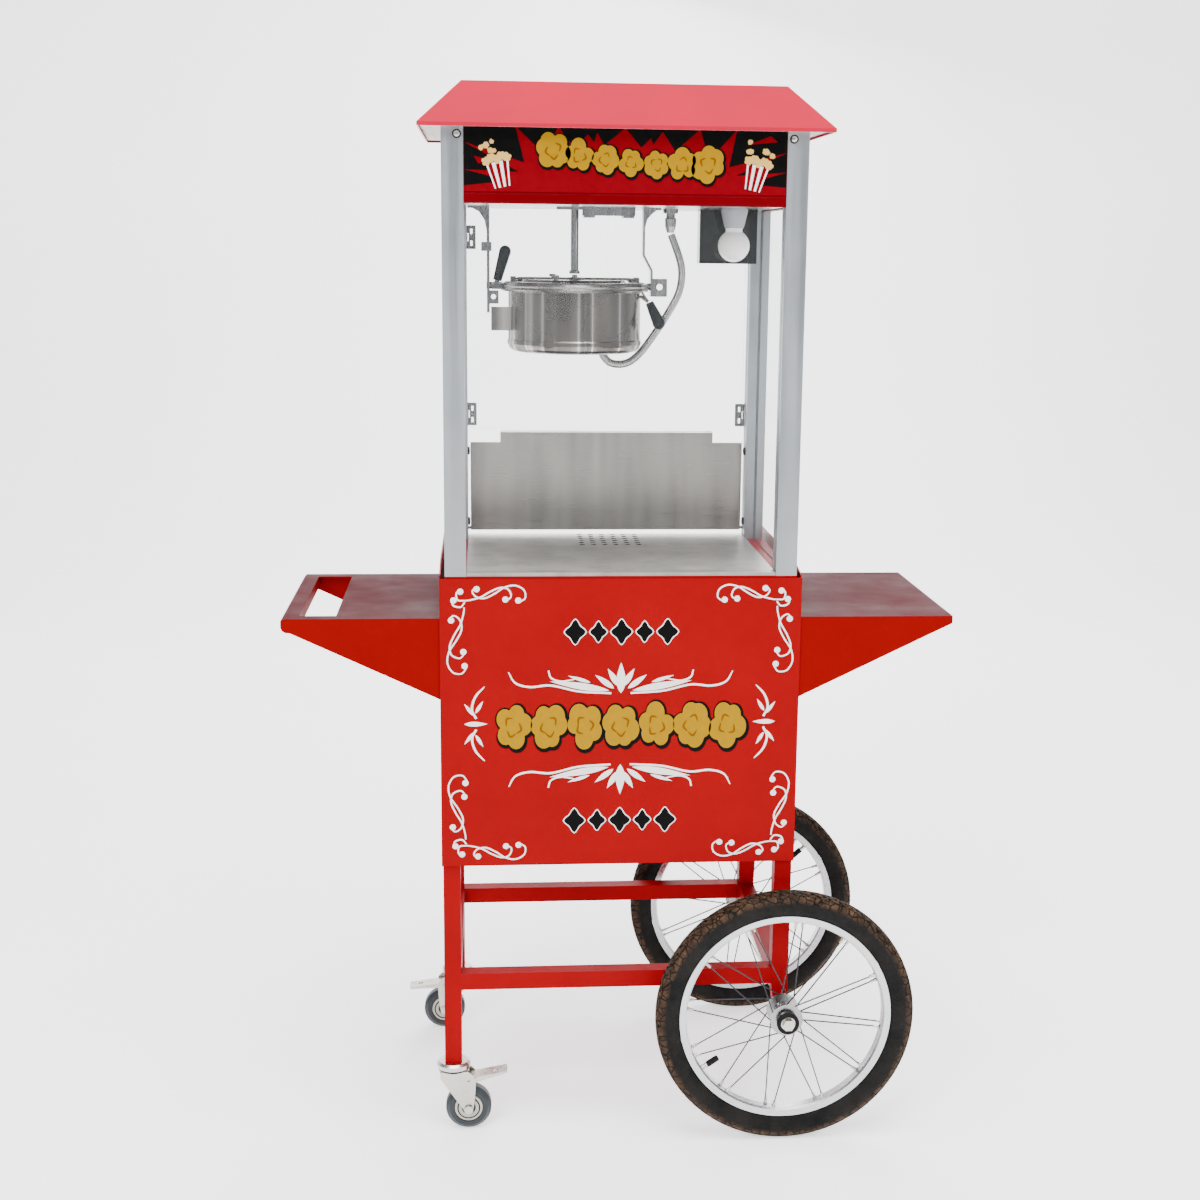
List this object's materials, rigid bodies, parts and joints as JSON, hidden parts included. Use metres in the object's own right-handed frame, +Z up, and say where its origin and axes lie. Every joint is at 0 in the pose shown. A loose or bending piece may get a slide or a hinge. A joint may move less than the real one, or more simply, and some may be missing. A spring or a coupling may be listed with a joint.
{
  "type": "popcorn cart",
  "caption": "Glazed popcorn machine with a tilting lidded kettle, standing in a sheet-metal serving cart with side shelves, spoked wheels and braked casters.",
  "frame": {"origin": "on the floor under the middle of the whole cart", "axes": "+Z up; +X to the right as the customer sees it; +Y towards the operator"},
  "size_m": [0.96, 0.546, 1.52],
  "materials": {
    "painted_red": "gloss",
    "painted_frame": "gloss",
    "post_aluminium": "satin",
    "brushed_steel": "brushed",
    "polished_steel": "polished",
    "mirror_steel": "mirror",
    "zinc": "zinc plated",
    "clear_pane": "clear",
    "bulb_glass": "opal",
    "black_plastic": "satin",
    "lamp_holder": "satin",
    "hose_armour": "ribbed",
    "tyre": "worn",
    "tread_grey": "worn"
  },
  "bodies": {
    "cart": {"cart_frame": "painted_frame", "front_panel": "painted_red", "side_panel_left": "painted_red", "side_panel_right": "painted_red", "cabinet_floor": "painted_red", "cart_deck": "painted_red", "wing_left": "painted_red", "wing_right": "painted_red", "machine_base": "painted_red", "tray": "brushed_steel", "post_front_left": "post_aluminium", "post_front_right": "post_aluminium", "post_rear_left": "post_aluminium", "post_rear_right": "post_aluminium", "pane_front": "clear_pane", "pane_left": "clear_pane", "pane_right": "clear_pane", "door_hinges": "brushed_steel", "header_front": "painted_red", "header_sides": "painted_red", "control_panel": "painted_red", "ceiling_plate": "brushed_steel", "roof": "painted_red", "drive_mount": "brushed_steel", "hanger_left": "brushed_steel", "hanger_right": "brushed_steel", "hose": "hose_armour", "lamp_reflector": "mirror_steel", "lamp_socket": "lamp_holder", "lamp_bulb": "bulb_glass", "axle": "zinc", "caster_front_mount": "zinc", "caster_rear_mount": "zinc"},
    "cabinet_door": {"cabinet_door": "painted_red"},
    "drawer": {"drawer": "brushed_steel"},
    "door_left": {"door_left": "clear_pane", "door_left_hardware": "brushed_steel"},
    "door_right": {"door_right": "clear_pane", "door_right_hardware": "brushed_steel"},
    "serving_flap": {"serving_flap": "brushed_steel"},
    "switch_light": {"switch_light": "black_plastic"},
    "switch_motor": {"switch_motor": "black_plastic"},
    "switch_heat": {"switch_heat": "black_plastic"},
    "drive_shaft": {"drive_shaft": "polished_steel"},
    "kettle": {"kettle_pot": "polished_steel", "grip_left": "black_plastic", "grip_right": "black_plastic"},
    "lid_front": {"lid_front": "polished_steel"},
    "lid_rear": {"lid_rear": "polished_steel"},
    "agitator": {"agitator": "polished_steel"},
    "wheel_front": {"wheel_front": "post_aluminium", "tyre_front": "tyre"},
    "wheel_rear": {"wheel_rear": "post_aluminium", "tyre_rear": "tyre"},
    "caster_front_fork": {"caster_front_fork": "zinc"},
    "caster_front_wheel": {"caster_front_wheel": "tread_grey"},
    "caster_front_pedal": {"caster_front_pedal": "zinc"},
    "caster_rear_fork": {"caster_rear_fork": "zinc"},
    "caster_rear_wheel": {"caster_rear_wheel": "tread_grey"},
    "caster_rear_pedal": {"caster_rear_pedal": "zinc"}
  },
  "joints": [
    {"name": "cabinet_door_hinge", "type": "hinge", "parent": "cart", "child": "cabinet_door", "pos_m": [-0.224, 0.1845, 0.57], "axis": [0, 0, 1], "range_deg": [0, 110]},
    {"name": "drawer_slide", "type": "slide", "parent": "cart", "child": "drawer", "axis": [0, 1, 0], "range_m": [0, 0.2]},
    {"name": "door_left_hinge", "type": "hinge", "parent": "cart", "child": "door_left", "pos_m": [-0.222, 0.1665, 1.18], "axis": [0, 0, 1], "range_deg": [0, 110]},
    {"name": "door_right_hinge", "type": "hinge", "parent": "cart", "child": "door_right", "pos_m": [0.222, 0.1665, 1.18], "axis": [0, 0, -1], "range_deg": [0, 110]},
    {"name": "serving_flap_hinge", "type": "hinge", "parent": "cart", "child": "serving_flap", "pos_m": [0, 0.1555, 0.86], "axis": [-1, 0, 0], "range_deg": [0, 85]},
    {"name": "light_rocker", "type": "hinge", "parent": "cart", "child": "switch_light", "pos_m": [-0.06, 0.156, 1.408], "axis": [1, 0, 0], "range_deg": [0, 12]},
    {"name": "motor_rocker", "type": "hinge", "parent": "cart", "child": "switch_motor", "pos_m": [0, 0.156, 1.408], "axis": [1, 0, 0], "range_deg": [0, 12]},
    {"name": "heat_rocker", "type": "hinge", "parent": "cart", "child": "switch_heat", "pos_m": [0.06, 0.156, 1.408], "axis": [1, 0, 0], "range_deg": [0, 12]},
    {"name": "drive_shaft_spin", "type": "hinge", "parent": "cart", "child": "drive_shaft", "pos_m": [-0.061, -0.018, 1.32], "axis": [0, 0, 1], "continuous": true},
    {"name": "kettle_tilt", "type": "hinge", "parent": "cart", "child": "kettle", "pos_m": [-0.061, -0.018, 1.245], "axis": [-1, 0, 0], "range_deg": [0, 70], "deforming": ["hose"]},
    {"name": "lid_front_hinge", "type": "hinge", "parent": "kettle", "child": "lid_front", "pos_m": [-0.061, -0.0312, 1.255], "axis": [-1, 0, 0], "range_deg": [0, 70]},
    {"name": "lid_rear_hinge", "type": "hinge", "parent": "kettle", "child": "lid_rear", "pos_m": [-0.061, -0.0048, 1.255], "axis": [1, 0, 0], "range_deg": [0, 70]},
    {"name": "agitator_spin", "type": "hinge", "parent": "kettle", "child": "agitator", "pos_m": [-0.061, -0.018, 1.2], "axis": [0, 0, 1], "continuous": true},
    {"name": "wheel_front_spin", "type": "hinge", "parent": "cart", "child": "wheel_front", "pos_m": [0.245, -0.232, 0.192], "axis": [0, 1, 0], "continuous": true},
    {"name": "wheel_rear_spin", "type": "hinge", "parent": "cart", "child": "wheel_rear", "pos_m": [0.245, 0.232, 0.192], "axis": [0, 1, 0], "continuous": true},
    {"name": "caster_front_swivel", "type": "hinge", "parent": "cart", "child": "caster_front_fork", "pos_m": [-0.2435, -0.1775, 0.09], "axis": [0, 0, 1], "continuous": true},
    {"name": "caster_front_roll", "type": "hinge", "parent": "caster_front_fork", "child": "caster_front_wheel", "pos_m": [-0.2215, -0.1775, 0.034], "axis": [0, 1, 0], "continuous": true},
    {"name": "caster_front_brake", "type": "hinge", "parent": "caster_front_fork", "child": "caster_front_pedal", "pos_m": [-0.2215, -0.1775, 0.077], "axis": [0, 1, 0], "range_deg": [0, 16]},
    {"name": "caster_rear_swivel", "type": "hinge", "parent": "cart", "child": "caster_rear_fork", "pos_m": [-0.2435, 0.1775, 0.09], "axis": [0, 0, 1], "continuous": true},
    {"name": "caster_rear_roll", "type": "hinge", "parent": "caster_rear_fork", "child": "caster_rear_wheel", "pos_m": [-0.2655, 0.1775, 0.034], "axis": [0, 1, 0], "continuous": true},
    {"name": "caster_rear_brake", "type": "hinge", "parent": "caster_rear_fork", "child": "caster_rear_pedal", "pos_m": [-0.2655, 0.1775, 0.077], "axis": [0, 1, 0], "range_deg": [0, 18]}
  ],
  "couplings": [
    {"joint": "agitator_spin", "follows": "drive_shaft_spin", "ratio": 1}
  ]
}
